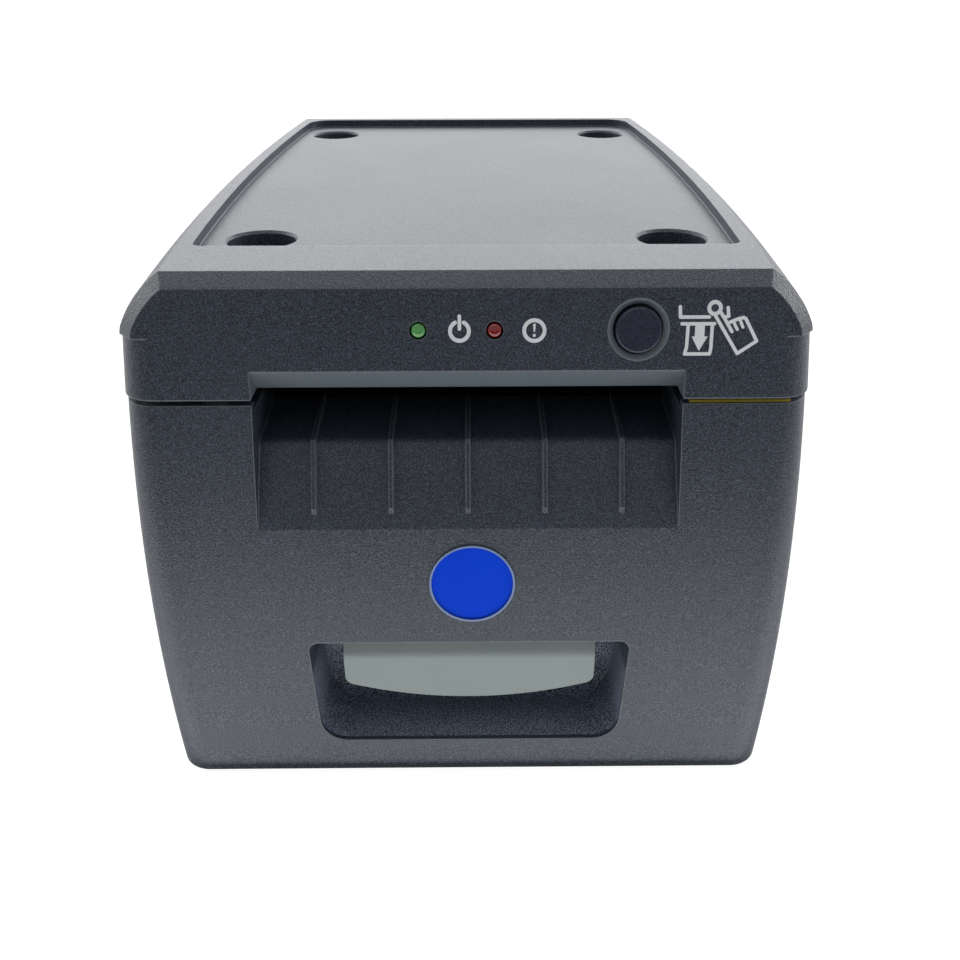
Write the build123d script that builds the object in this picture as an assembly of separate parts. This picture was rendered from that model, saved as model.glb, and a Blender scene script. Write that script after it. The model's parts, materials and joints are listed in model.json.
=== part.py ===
from build123d import *
import math
import os

# Cheque scanner with a rear-hinged cover. Millimetres, +Z up, front towards -Y, +X to the right seen
# from the front. The origin is on the surface it stands on, under the middle of the body.

# Body form
length = 235.0
width = 162.7
height = 127.0
foot_height = 1.0
wall = 2.5
front_radius = 600.0
plan_radius = 1300.0
plan_centre = 0.0
flank_radius = 700.0
flank_centre = 54.0
shoulder_radius = 25.0
shoulder_ease = 6.0
shoulder_turn = 18.0
shoulder_drop = 13.0
top_chamfer = 4.7
rear_chamfer = 7.0
front_corner = 8.0
rear_corner = 8.0
bottom_round = 1.2
seam_drop = 26.8
seam_gap = 1.3
cover_overhang = 0.5
rim_height = 2.0

# Tray on the cover, with the four locating wells for a printer's feet
tray_depth = 2.5
tray_front_rim = 19.7
tray_rear_rim = 4.0
tray_side_rim = 3.3
tray_corner = 3.0
tray_rear_corner = 8.0
well_radius = 8.3
well_depth = 14.0
well_pitch_x = 100.0
well_pitch_y = 152.5
well_centre = 10.75
well_flare = 0.6

# Document slot and track
slot_half = 46.8
slot_foot_half = 47.8
mouth_drop = 20.0
track_drop = 36.5
track_gap = 2.0
ramp_height = 19.9
ramp_run = 13.6
bend_drop = 1.9
bend_radius = 3.0
shelf_run = 33.5
rib_count = 5
rib_pitch = 17.45
rib_width = 1.0
rib_height = 1.0
rib_start = 3.2
channel_half = 48.3
channel_wall = 2.0
channel_rear = 23.5
plate_thickness = 2.0
ledge_width = 4.3
ledge_thickness = 2.0

# Finger pocket and cover release
pocket_top = 40.6
pocket_floor = 11.2
pocket_half = 38.6
pocket_taper = 1.9
pocket_depth = 22.0
pocket_corner = 2.5
pocket_sole_corner = 6.5
pocket_scoop = 6.0
tab_half = 30.85
tab_floor = 21.2
tab_rise = 4.7
tab_setback = 4.3
tab_thickness = 2.4
tab_corner = 2.5
stem_half = 18.0
stem_width = 3.4
latch_setback = 18.5
latch_drop = 24.5
latch_shaft_radius = 2.5
latch_hub_radius = 5.0
hook_x = 55.0
hook_thickness = 4.0
hook_reach = 2.0
hook_arm = 3.6
nose_length = 2.4
hook_height = 25.0
nose_height = 3.6
latch_gap = 0.3
striker_thickness = 1.8
striker_width = 5.0
ledge_reach = 2.8
lug_thickness = 4.5

# Hinge
hinge_inset = 3.5
hinge_rise = 3.15
hinge_x = 50.0
hinge_lug_width = 12.0
hinge_boss_width = 3.5
hinge_radius = 3.0
hinge_pin_radius = 1.5
hinge_relief = 5.1

# Drive
shaft_radius = 3.0
drive_roller_radius = 10.0
drive_roller_width = 12.0
roller_x = 22.0
roller_proud = 0.3
nip_gap = 0.3
front_roller_run = 55.5
rear_roller_run = 67.5
pinch_radius = 6.0
pinch_shaft_radius = 2.0
pinch_bearing_x = 33.0
pinch_bearing_width = 3.0
frame_inner_x = 44.2
frame_thickness = 1.5
frame_depth = 16.5
bush_radius = 4.0
bush_flange = 5.2
bush_flange_thickness = 1.2
bush_length = 3.7
gear_module = 0.8
pinion_teeth = 12
reduction_teeth = 36
gear_width = 4.0
gear_backlash = 0.12
gear_start = 49.0
pulley_radius = 9.0
small_pulley_radius = 7.0
pulley_width = 5.5
pulley_rim = 0.6
pulley_rim_height = 2.0
belt_thickness = 1.2
belt_width = 3.8
axle_radius = 2.0
reduction_setback = 56.0
reduction_drop = 18.8
motor_angle = 28.0
motor_radius = 17.5
motor_length = 25.0
motor_shaft_radius = 1.5

# Sensors, boards and sockets
sensor_half = 43.5
sensor_depth = 19.0
sensor_height = 12.0
glass_thickness = 1.8
lower_sensor_y = -25.0
upper_sensor_y = -2.0
micr_x = 33.0
micr_y = 19.0
micr_width = 12.0
micr_depth = 14.0
micr_height = 14.0
eye_size = 5.0
eye_hole = 1.3
board_half = 56.0
board_depth = 156.0
board_height = 18.0
board_thickness = 1.6
standoff_radius = 3.5
jack_x = 38.0
jack_width = 9.0
jack_height = 11.0
jack_depth = 14.0
jack_bore = 2.8
jack_bore_depth = 9.5
jack_pin = 1.0
usb_x = 8.0
usb_width = 12.0
usb_height = 10.8
usb_depth = 16.0
usb_mouth_width = 8.6
usb_mouth_height = 7.8
usb_tongue_width = 5.6
usb_tongue_height = 3.2
port_gap = 0.4

# Operator panel
panel_drop = 11.4
power_led_x = -10.3
alert_led_x = 5.9
led_radius = 1.65
led_hole = 1.9
led_proud = 0.5
button_x = 36.4
button_radius = 4.95
button_hole = 5.35
button_ring = 6.5
button_ring_depth = 0.9
button_proud = 0.9
button_flange = 6.3
button_flange_thickness = 1.0
button_stem = 1.5
button_travel = 0.9
switch_size = 6.2
switch_height = 3.5
panel_board_depth = 9.5
panel_board_left = -20.0
panel_board_right = 50.0
panel_board_height = 11.0
badge_x = 0.8
badge_height = 56.6
badge_radius = 10.0
badge_rim = 0.5
badge_recess = 0.8
strip_left = 48.4
strip_right = 70.5
strip_width = 2.0
strip_height = 0.55

# Underside and fasteners
bottom_thickness = 2.5
bottom_gap = 0.3
foot_radius = 7.0
foot_recess = 0.5
foot_x = 50.0
foot_front = 20.0
foot_rear = 18.0
boss_radius = 4.2
boss_front = 26.0
boss_rear = 22.0
boss_height = 16.0
screw_radius = 1.5
screw_head = 2.6
screw_head_height = 1.8
frame_screw_head = 2.1
screw_length = 9.0
running = 0.06
clearance = 0.3

front = -length / 2
rear = length / 2
seam_low = height - seam_drop - seam_gap / 2
seam_high = height - seam_drop + seam_gap / 2
deck = seam_low - rim_height
deck_under = deck - wall
base_inset = cover_overhang
base_inner = cover_overhang + wall
track = height - track_drop
upper_track = track + track_gap
plate_under = track - plate_thickness
ledge_under = plate_under - ledge_thickness
ledge_half = channel_half - ledge_width
shelf_end = front + shelf_run
channel_end = rear - channel_rear
liner_top = seam_high + wall
tray_floor = height - tray_depth
plan_axis = width / 2 - plan_radius
shaft_z = track + roller_proud - drive_roller_radius
pinch_z = track + roller_proud + nip_gap + pinch_radius
front_roller_y = front + front_roller_run
rear_roller_y = rear - rear_roller_run
latch_y = front + latch_setback
latch_z = track - latch_drop
hinge_y = rear - hinge_inset
hinge_z = seam_high + hinge_rise
reduction_y = front_roller_y + reduction_setback
reduction_z = shaft_z - reduction_drop
gear_centres = gear_module * (pinion_teeth + reduction_teeth) / 2 + gear_backlash
motor_y = reduction_y + gear_centres * math.cos(math.radians(motor_angle))
motor_z = reduction_z - gear_centres * math.sin(math.radians(motor_angle))
pulley_start = gear_start + gear_width + 0.5
bottom_top = foot_height + bottom_thickness
mouth_top = height - mouth_drop
panel_z = height - panel_drop


def front_y(z, inset=0.0):
    """Y of the bowed front face at height z, moved in by inset."""
    return front + front_radius - math.sqrt((front_radius - inset) ** 2 - (z - foot_height) ** 2)


def front_lean(z):
    """Angle in degrees by which the front face leans back at height z."""
    return math.degrees(math.asin((z - foot_height) / front_radius))


def side_x(y, z, inset=0.0):
    """Half width of the body below the shoulder at y and z, moved in by inset."""
    flank = width / 2 - flank_radius + math.sqrt((flank_radius - inset) ** 2 - (z - flank_centre) ** 2)
    return plan_axis + math.sqrt((flank - plan_axis) ** 2 - (y - plan_centre) ** 2)


def polar(centre, radius, angle):
    return (centre[0] + radius * math.cos(angle), centre[1] + radius * math.sin(angle))


def shoulder_points(inset):
    """Points of the section from the flank's end over the small and the large arc to the flat top."""
    start = math.asin((height - shoulder_drop - flank_centre) / flank_radius)
    turned = start + math.radians(shoulder_turn)
    small = polar((width / 2 - flank_radius, flank_centre), flank_radius - shoulder_ease, start)
    large = polar(small, shoulder_ease - shoulder_radius, turned)
    crest = math.asin((height - inset - large[1]) / (shoulder_radius - inset))
    points = [polar(small, shoulder_ease - inset, a) for a in (start, (start + turned) / 2, turned)]
    return points + [polar(large, shoulder_radius - inset, a) for a in ((turned + crest) / 2, crest)]


def plateau_half():
    """Half width of the flat top where the body is widest."""
    return shoulder_points(0.0)[4][0]


def block(x0, x1, y0, y1, z0, z1):
    middle = Pos((x0 + x1) / 2, (y0 + y1) / 2, (z0 + z1) / 2)
    return middle * Box(abs(x1 - x0), abs(y1 - y0), abs(z1 - z0))


def across(face, x0, x1):
    """Side-view outline in Y and Z, extruded from x0 to x1."""
    return extrude(Pos(x0, 0, 0) * (Plane.YZ * face), abs(x1 - x0), dir=(1, 0, 0))


def side_polygon(*points):
    return make_face(Polyline(*points, close=True))


def rod(x0, x1, y, z, radius):
    """Round bar along X."""
    return Pos((x0 + x1) / 2, y, z) * Rot(0, 90, 0) * Cylinder(radius, abs(x1 - x0))


def post(x, y, z0, z1, radius):
    """Round bar along Z."""
    return Pos(x, y, (z0 + z1) / 2) * Cylinder(radius, abs(z1 - z0))


def both(shape):
    """The shape and its mirror image in the middle plane."""
    return [shape, mirror(shape, about=Plane.YZ)]


def spread(values):
    """One compound of separate solids."""
    solids = [solid for value in values for solid in value.solids()]
    return Compound(children=solids)


def body_form(inset, low):
    """The body above low, moved in by inset: barrel-shaped flanks, bowed front, flat top."""
    flank_middle = (width / 2 - flank_radius, flank_centre)
    shoulder = shoulder_points(inset)
    step, top = shoulder[0][1], height - inset
    past = -width / 2 - wall
    angles = [math.asin((z - flank_centre) / (flank_radius - inset)) for z in (low, (low + step) / 2)]
    flank = [polar(flank_middle, flank_radius - inset, angle) for angle in angles]
    section = make_face([
        Line((past, low), flank[0]),
        ThreePointArc(*flank, shoulder[0]),
        ThreePointArc(*shoulder[:3]),
        ThreePointArc(*shoulder[2:]),
        Line(shoulder[4], (past, top)),
        Line((past, top), (past, low)),
    ])
    axis = Axis((plan_axis, plan_centre, 0), (0, 0, 1))
    sweep_angle = 2 * math.degrees(math.asin(length / plan_radius / 1.5))
    right = revolve(Pos(0, plan_centre, 0) * (Plane.XZ * section), axis, sweep_angle)
    right = right.rotate(axis, -sweep_angle / 2)
    sharp = right & mirror(right, about=Plane.YZ) & across(lengthwise_outline(inset, low), -width, width)
    lower = (sharp & block(-width, width, front - 5, rear + 5, low - 5, step)).solid()
    lower = lower.fillet(front_corner - inset, upright_edges(lower, True))
    lower = lower.fillet(rear_corner - inset, upright_edges(lower, False))
    upper = sharp & block(-width, width, front - 5, rear + 5, step, height)
    upper -= end_chamfer(inset, True) + end_chamfer(inset, False)
    return (lower + upper.solid()).solid()


def end_outline(inset, narrowing, stretch):
    """Front view of the shoulders and the flat top, moved in by inset, on a plane through the top."""
    edge = [(x + narrowing, (z - height) * stretch) for x, z in shoulder_points(inset)[2:]]
    foot = edge[0][0], -2 * shoulder_drop
    side = [Line(foot, edge[0]), ThreePointArc(*edge), Line(edge[2], (0, edge[2][1]))]
    return make_face(side + [line.mirror(Plane.YZ) for line in side] + [Line(foot, (-foot[0], foot[1]))])


def end_chamfer(inset, at_front):
    """What the chamfer round the upper edge of the front or rear takes off, shoulders included."""
    way = -1 if at_front else 1
    leg = (top_chamfer if at_front else rear_chamfer) - inset * (2 - math.sqrt(2))
    crease = height - inset - leg
    face = front_y(crease, inset) if at_front else rear - inset
    lean = math.radians(front_lean(crease)) if at_front else 0.0
    lead, past = 1.0, 4.0
    start = face - way * (leg + lead)
    begin, deep = inset - lead, leg + lead + past
    crest = shoulder_points(begin)[4][0]
    narrowing = plan_axis + math.sqrt((crest - plan_axis) ** 2 - (start - plan_centre) ** 2) - crest
    outward = (0, way * math.cos(lean), math.sin(lean))
    plane = Plane(origin=(0, start, height), x_dir=(-way, 0, 0), z_dir=outward)
    ends = [
        plane.offset(reach) * end_outline(begin + reach, narrowing, 1 / math.cos(lean))
        for reach in (-lead, deep)
    ]
    room = plane * Pos(0, -shoulder_drop / 2) * Rectangle(2 * width, 2.5 * shoulder_drop)
    return extrude(room, deep - 0.5) - loft(ends, ruled=True)


def lengthwise_outline(inset, low):
    """Side view of the body: bowed front, flat top, upright rear."""
    top = height - inset
    middle_z = (low + top) / 2
    start, end = (front_y(low, inset), low), (front_y(top, inset), top)
    bow = ThreePointArc(start, (front_y(middle_z, inset), middle_z), end)
    back = rear - inset
    return make_face([bow, Polyline(end, (back, top), (back, low), start)])


def upright_edges(form, at_front):
    """The edges where the flanks meet the front or the rear, up to the top chamfer."""
    found = []
    for edge in form.edges():
        middle, along = edge.center(), edge.tangent_at(0.5)
        near = middle.Y < front + 25 if at_front else middle.Y > rear - 2 * wall
        below = middle.Z < height - top_chamfer
        if near and below and abs(middle.X) > width / 4 and abs(along.X) < 0.7 and abs(along.Z) > 0.3:
            found.append(edge)
    return found


def tray_plan(grow):
    """Plan of the tray, its sides following the barrel shape of the body."""
    bow = plan_radius - (width / 2 - plateau_half()) - tray_side_rim + grow
    right = Pos(plan_axis, plan_centre) * Circle(bow)
    left = Pos(-plan_axis, plan_centre) * Circle(bow)
    near = front_y(height - top_chamfer) + top_chamfer + tray_front_rim - grow
    far = rear - rear_chamfer - tray_rear_rim + grow
    span = Pos(0, (near + far) / 2) * Rectangle(width, far - near)
    plan = (span & right & left).face()
    middle_y = (near + far) / 2
    plan = fillet([v for v in plan.vertices() if v.Y < middle_y], tray_corner + grow)
    return fillet([v for v in plan.vertices() if v.Y > far - tray_corner], tray_rear_corner + grow)


def well_points():
    return [
        (x * well_pitch_x / 2, well_centre + y * well_pitch_y / 2) for x in (-1, 1) for y in (-1, 1)
    ]


def wells(radius, z0, z1):
    return [post(x, y, z0, z1, radius) for x, y in well_points()]


def well_mouths():
    """The flare that eases each well's mouth in the tray floor."""
    tall = well_flare + clearance
    flare = Cone(well_radius, well_radius + tall, tall)
    return [Pos(x, y, tray_floor - well_flare + tall / 2) * flare for x, y in well_points()]


def mouth_outline(back):
    """Side view of the notch over the slot: its bevel runs back and down to the cover's lower edge."""
    face = front_y(mouth_top)
    bevel = mouth_top - seam_high
    lead = 8.0
    return side_polygon(
        (face - lead + back, mouth_top + lead),
        (face + bevel + back, seam_high),
        (face + bevel + back, seam_high - lead),
        (face - lead, seam_high - lead),
        (face - lead, mouth_top + lead),
    )


def panel_plane():
    lean = math.radians(front_lean(panel_z))
    return Plane((0, front_y(panel_z), panel_z), (1, 0, 0), (0, -math.cos(lean), math.sin(lean)))


def panel_rod(x, z0, z1, radius):
    """Round bar square to the operator panel, z measured outwards from its face."""
    return panel_plane() * Pos(x, 0, (z0 + z1) / 2) * Cylinder(radius, abs(z1 - z0))


def panel_block(x0, x1, y0, y1, z0, z1):
    middle = Pos((x0 + x1) / 2, (y0 + y1) / 2, (z0 + z1) / 2)
    return panel_plane() * middle * Box(abs(x1 - x0), abs(y1 - y0), abs(z1 - z0))


def button_dish():
    """The countersunk ring around the key."""
    slope = (button_ring - button_hole) / button_ring_depth
    past = 0.5
    dish = Cone(button_hole, button_ring + slope * past, button_ring_depth + past)
    return panel_plane() * Pos(button_x, 0, (past - button_ring_depth) / 2) * dish


def cover_screw_points():
    """Where the liner is screwed up into the cover."""
    inset = wall + boss_radius - 1.0
    points = []
    for y in (front + boss_front + 12, rear - boss_rear - 8):
        points.append((side_x(y, liner_top + 6, inset), y))
    return points


def base_screw_points():
    """Where the bottom plate is screwed up into the lower housing."""
    inset = base_inner + boss_radius - 0.9
    return [(side_x(y, bottom_top + 4, inset), y) for y in (front + boss_front, rear - boss_rear)]


def hinge_bosses(radius):
    """The cover's four knuckles, one each side of both base lugs."""
    inner = hinge_x - hinge_lug_width / 2 - clearance
    outer = hinge_x + hinge_lug_width / 2 + clearance
    knuckles = rod(inner - hinge_boss_width, inner, hinge_y, hinge_z, radius)
    knuckles += rod(outer, outer + hinge_boss_width, hinge_y, hinge_z, radius)
    return both(knuckles)


def top_cover():
    room = body_form(wall, seam_high - 1)
    room -= extrude(Pos(0, 0, tray_floor - wall) * tray_plan(wall), wall + tray_depth + 1)
    room -= wells(well_radius + wall, tray_floor - well_depth - wall, height)
    room -= across(mouth_outline(wall * math.sqrt(2)), -slot_half - wall, slot_half + wall)
    room -= hinge_bosses(hinge_radius)
    for x, y in cover_screw_points():
        room -= both(post(x, y, liner_top, height, boss_radius))
    cover = body_form(0.0, seam_high) - room
    cover -= extrude(Pos(0, 0, tray_floor) * tray_plan(0.0), tray_depth + 1)
    cover -= wells(well_radius, tray_floor - well_depth, height)
    cover -= well_mouths()
    cover -= across(mouth_outline(0.0), -slot_half, slot_half)
    notch = hinge_lug_width / 2 + clearance
    notch_top = hinge_z + hinge_radius + clearance
    for side in (-hinge_x, hinge_x):
        cover -= block(side - notch, side + notch, hinge_y - hinge_radius - 1, rear + 1, 0, notch_top)
    cover -= rod(-width / 2 + 15, width / 2 - 15, hinge_y, hinge_z, hinge_pin_radius)
    for x in (power_led_x, alert_led_x):
        cover -= panel_rod(x, -wall - 1, 1, led_hole)
    cover -= panel_rod(button_x, -wall - 1, 1, button_hole)
    cover -= button_dish()
    for x, y in cover_screw_points():
        cover -= both(post(x, y, liner_top - 1, liner_top + screw_length, screw_radius))
    return cover.solid()


def liner_section(top):
    """Side view of the upper track pan: a slanted lead-in, then level to the rear."""
    lip = front_y(mouth_top) + mouth_top - seam_high + wall * math.sqrt(2) + clearance
    lead_end = shelf_end + 2
    pan_end = channel_end - 2
    return side_polygon(
        (lip, top), (lip, seam_high), (lead_end, upper_track), (pan_end, upper_track), (pan_end, top)
    )


def roller_windows(y, radius, axis_z, z0, z1):
    """Openings in a track wall between z0 and z1 for the two rollers of one shaft."""
    reach = max(math.sqrt(radius**2 - (z - axis_z) ** 2) for z in (z0, z1)) + 0.8
    half = drive_roller_width / 2 + 1
    return both(block(roller_x - half, roller_x + half, y - reach, y + reach, z0 - 1, z1 + 1))


def cover_liner():
    """Inner moulding of the cover, with the upper half of the document track."""
    pan_half = channel_half - 2.0
    plate = body_form(wall + clearance, seam_high) & block(
        -width, width, front, hinge_y - hinge_radius - 1, seam_high, liner_top
    )
    mouth_back = front_y(mouth_top) + mouth_top - seam_high + wall * math.sqrt(2) + clearance
    mouth_side = slot_half + wall + clearance
    plate -= block(-mouth_side, mouth_side, front, mouth_back, 0, height)
    liner = plate + across(liner_section(liner_top), -pan_half, pan_half)
    inner = offset(liner_section(liner_top + 2 * wall), -plate_thickness, kind=Kind.INTERSECTION)
    liner -= across(inner, -pan_half + plate_thickness, pan_half - plate_thickness)
    pan_floor = upper_track + plate_thickness
    for y in (front_roller_y, rear_roller_y):
        side = pinch_bearing_width / 2
        bearing = block(
            pinch_bearing_x - side, pinch_bearing_x + side, y - 4, y + 4,
            pan_floor - 0.5, pinch_z + pinch_shaft_radius + 2
        )
        bearing -= rod(0, width / 2, y, pinch_z, pinch_shaft_radius + running)
        liner += both(bearing)
        liner -= roller_windows(y, pinch_radius, pinch_z, upper_track, pan_floor)
    liner -= sensor_window(upper_sensor_y, upper_track - 1, pan_floor + 0.01)
    for x, y in cover_screw_points():
        liner -= both(post(x, y, seam_high - 1, liner_top + 1, screw_radius))
    return liner.solid()


def sensor_window(y, z0, z1):
    half = sensor_half - 1
    return block(-half, half, y - sensor_depth / 2 + 1, y + sensor_depth / 2 - 1, z0, z1)


def sensor_glass(y, z0):
    half = sensor_half - 1 - clearance
    reach = sensor_depth / 2 - 1 - clearance
    return block(-half, half, y - reach, y + reach, z0, z0 + glass_thickness)


def image_sensor(y, z0):
    """Contact image sensor bar with a stepped body."""
    reach = sensor_depth / 2
    bar = block(-sensor_half, sensor_half, y - reach, y + reach, z0, z0 + sensor_height)
    upright = bar.edges().filter_by(Axis.Z)
    return fillet(upright, 1.0)


def recess_outline(back):
    """Side view of the document recess: front ramp, bend and shelf; back thickens it into a wall."""
    foot_z = track - ramp_height
    bend = (front + ramp_run + back * 0.9, track - bend_drop - back * 0.5)
    foot = (front_y(foot_z, base_inset), foot_z - back)
    outline = side_polygon(
        (front - 8, foot_z - back), foot, bend, (shelf_end, track - back),
        (shelf_end, height), (front - 8, height)
    )
    crest = outline.vertices().sort_by_distance((*bend, 0))[:1]
    return fillet(crest, bend_radius - back)


def recess_front():
    """Front view of the recess, a little wider at its foot."""
    foot_z = track - ramp_height - 1
    return make_face(Polyline(
        (-slot_foot_half, foot_z), (-slot_half, seam_low), (-slot_half, height),
        (slot_half, height), (slot_half, seam_low), (slot_foot_half, foot_z), close=True
    ))


def rib(x):
    """One guide rib up the ramp and over the shelf."""
    foot_z = track - ramp_height
    foot_y = front_y(foot_z, base_inset)
    bend = (front + ramp_run, track - bend_drop)
    rise = (bend[1] - foot_z) / (bend[0] - foot_y)
    start = (foot_y + rib_start / rise, foot_z + rib_start)
    nose = (start[0] + 1.0 / rise - rib_height, start[1] + 1.5)
    end = shelf_end
    outline = side_polygon(
        (start[0] + 1.0, start[1] - 0.6), start, nose,
        (bend[0] - rib_height, bend[1] + rib_height * 0.7),
        (end, track + rib_height), (end, track - 1), (bend[0] + 1, bend[1] - 0.6)
    )
    return across(outline, x - rib_width / 2, x + rib_width / 2)


def pocket_form(grow, depth):
    """Finger pocket in the front, narrower at its foot and scooped; grow thickens it into a wall."""
    top, foot, back = pocket_top + grow, pocket_floor - grow, front + depth
    half, foot_half = pocket_half + grow, pocket_half - pocket_taper + grow
    corners = [(-foot_half, foot), (-half, top), (half, top), (foot_half, foot)]
    outline = make_face(Polyline(corners, close=True))
    middle_z = (top + foot) / 2
    outline = fillet([v for v in outline.vertices() if v.Y > middle_z], pocket_corner + grow)
    lower = [v for v in outline.vertices() if v.Y < foot + 0.01]
    outline = fillet(lower, pocket_sole_corner + grow)
    scoop, open_y = pocket_scoop + grow, front - 5
    plan = make_face(Polyline((-half, open_y), (-half, back), (half, back), (half, open_y), close=True))
    plan = fillet([v for v in plan.vertices() if v.Y > front], scoop)
    side = side_polygon((open_y, foot), (back, foot), (back, top), (open_y, top))
    side = fillet([v for v in side.vertices() if v.X > front and v.Y < foot + 0.01], scoop)
    form = extrude(Pos(0, back, 0) * (Plane.XZ * outline), back - open_y, dir=(0, -1, 0))
    return form & extrude(Pos(0, 0, foot) * plan, top - foot) & across(side, -half, half)


def latch_lug():
    inner = hook_x + hook_thickness / 2 + 3
    return block(
        inner, inner + lug_thickness, front, latch_y + latch_hub_radius,
        latch_z - latch_hub_radius, latch_z + latch_hub_radius
    )


def hinge_lug():
    """Base half of one hinge: a round-topped lug on the rear rim."""
    half = hinge_lug_width / 2
    lug = rod(hinge_x - half, hinge_x + half, hinge_y, hinge_z, hinge_radius)
    lug += block(
        hinge_x - half, hinge_x + half, hinge_y - hinge_radius, hinge_y + hinge_radius, deck - 1, hinge_z
    )
    return lug - rod(0, width / 2, hinge_y, hinge_z, hinge_pin_radius + running)


def lower_housing():
    room = body_form(base_inner, -1)
    room -= block(-width, width, front - 5, rear + 5, deck_under, height + 5)
    shell_half = channel_half + channel_wall
    room -= block(-shell_half, shell_half, front, channel_end + channel_wall, ledge_under, height)
    room -= across(recess_outline(wall), -slot_foot_half - wall, slot_foot_half + wall)
    room -= pocket_form(wall, pocket_depth + wall)
    room -= both(latch_lug())
    for x, y in base_screw_points():
        room -= both(post(x, y, bottom_top, bottom_top + boss_height, boss_radius))
    under_shelf = block(
        -shell_half, shell_half, front + ramp_run + wall, shelf_end, ledge_under - 1, plate_under - 0.5
    )
    room += under_shelf & across(under_ramp(), -shell_half, shell_half)
    outer = body_form(base_inset, foot_height) & block(-width, width, front - 5, rear + 5, 0, seam_low)
    outer = fillet(sole_edges(outer), bottom_round)
    housing = outer - room
    housing -= body_form(base_inner, deck)
    housing -= block(-channel_half, channel_half, shelf_end, channel_end, plate_under, height)
    housing -= block(-ledge_half, ledge_half, shelf_end + 4, channel_end - 4, ledge_under - 1, height)
    recess = across(recess_outline(0.0), -width, width)
    housing -= recess & extrude(Pos(0, rear, 0) * (Plane.XZ * recess_front()), length * 2, dir=(0, -1, 0))
    housing -= pocket_form(0.0, pocket_depth)
    housing -= lever_slot()
    housing -= both(latch_slot())
    housing -= rod(-width / 2 + 9, width / 2 - 9, latch_y, latch_z, latch_shaft_radius + running)
    housing -= rod(-width, width, hinge_y, hinge_z, hinge_relief)
    housing -= port_openings()
    housing -= badge_disc(badge_radius + 0.05, -badge_recess, 2)
    for x, y in base_screw_points():
        housing -= both(post(x, y, bottom_top - 1, bottom_top + screw_length, screw_radius))
    for y in frame_screw_points():
        housing -= both(post(frame_screw_x(), y, ledge_under - 1, plate_under, screw_radius))
    middle = (rib_count - 1) / 2
    for n in range(rib_count):
        housing += rib((n - middle) * rib_pitch)
    housing += both(hinge_lug())
    return housing.solid()


def under_ramp():
    """Hollow behind the ramp and under the shelf."""
    return side_polygon(
        (front + ramp_run + wall + 2, ledge_under - 2), (shelf_end, ledge_under - 2),
        (shelf_end, plate_under - 0.5), (front + ramp_run + wall + 2, plate_under - 2)
    )


def sole_edges(form):
    return [e for e in form.edges() if abs(e.center().Z - foot_height) < 0.01]


def lever_slot():
    """Gap in the pocket's roof that the release lever hangs through."""
    half = tab_half + 1.5
    back = latch_y - latch_hub_radius + 1.5
    return block(-half, half, front_y(pocket_top, base_inner), back, pocket_top - 1, pocket_top + wall + 1)


def latch_slot():
    """Slot in the deck for one hook and the striker that it holds."""
    half = hook_thickness / 2 + 1.2
    near = front_y(seam_low, base_inner) + 0.1
    return block(hook_x - half, hook_x + half, near, latch_y + 7, deck_under - 1, seam_low + 1)


def port_openings():
    z = board_height + board_thickness
    jack = Pos(jack_x, rear, z + jack_height / 2) * Rot(90, 0, 0) * Cylinder(jack_bore + 1.8, 10)
    side = usb_width / 2 + port_gap
    usb = block(usb_x - side, usb_x + side, rear - 5, rear + 5, z - port_gap, z + usb_height + port_gap)
    return [jack, usb]


def badge_disc(radius, z0, z1):
    lean = math.radians(front_lean(badge_height))
    plane = Plane(
        (badge_x, front_y(badge_height, base_inset), badge_height),
        (1, 0, 0), (0, -math.cos(lean), math.sin(lean))
    )
    return plane * Pos(0, 0, (z0 + z1) / 2) * Cylinder(radius, z1 - z0)


def lower_track_plate():
    plate = block(
        -channel_half + clearance, channel_half - clearance,
        shelf_end + clearance, channel_end - clearance, plate_under, track
    )
    for y in (front_roller_y, rear_roller_y):
        plate -= roller_windows(y, drive_roller_radius, shaft_z, plate_under, track)
    plate -= sensor_window(lower_sensor_y, plate_under - 1, track + 1)
    half, reach = micr_width / 2 + clearance, micr_depth / 2 + clearance
    plate -= block(
        micr_x - half, micr_x + half, micr_y - reach, micr_y + reach, plate_under - 1, track + 1
    )
    for x, y in eye_points():
        plate -= post(x, y, plate_under - 1, track + 1, eye_hole)
    return plate


def eye_points():
    """Document sensors: at the slot, after the front rollers and after the rear rollers."""
    return [(0, shelf_end + 8), (-8, front_roller_y + 15), (0, rear_roller_y + 18)]


def document_sensors():
    half = eye_size / 2
    return spread([
        block(x - half, x + half, y - half, y + half, plate_under - 4, plate_under) for x, y in eye_points()
    ])


def micr_head():
    half, reach = micr_width / 2, micr_depth / 2
    top = track + 0.2
    head = block(micr_x - half, micr_x + half, micr_y - reach, micr_y + reach, top - micr_height, top)
    crown = head.edges().filter_by(Axis.X).group_by(Axis.Z)[-1]
    return fillet(crown, 3.0)


def frame_outline(with_motor):
    """Side view of one chassis plate; the drive side has a tongue that carries the motor."""
    near, far = front_roller_y - 14, rear_roller_y + 30
    low = ledge_under - frame_depth
    if not with_motor:
        return side_polygon((near, ledge_under), (near, low), (far, low), (far, ledge_under))
    tongue_low = motor_z - motor_radius
    tongue_near, tongue_far = reduction_y - 12, motor_y + motor_radius
    return side_polygon(
        (near, ledge_under), (near, low), (tongue_near - 12, low), (tongue_near, tongue_low + 14),
        (tongue_near + 14, tongue_low), (tongue_far, tongue_low), (tongue_far, low + 2),
        (tongue_far + 8, low), (far, low), (far, ledge_under)
    )


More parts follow.
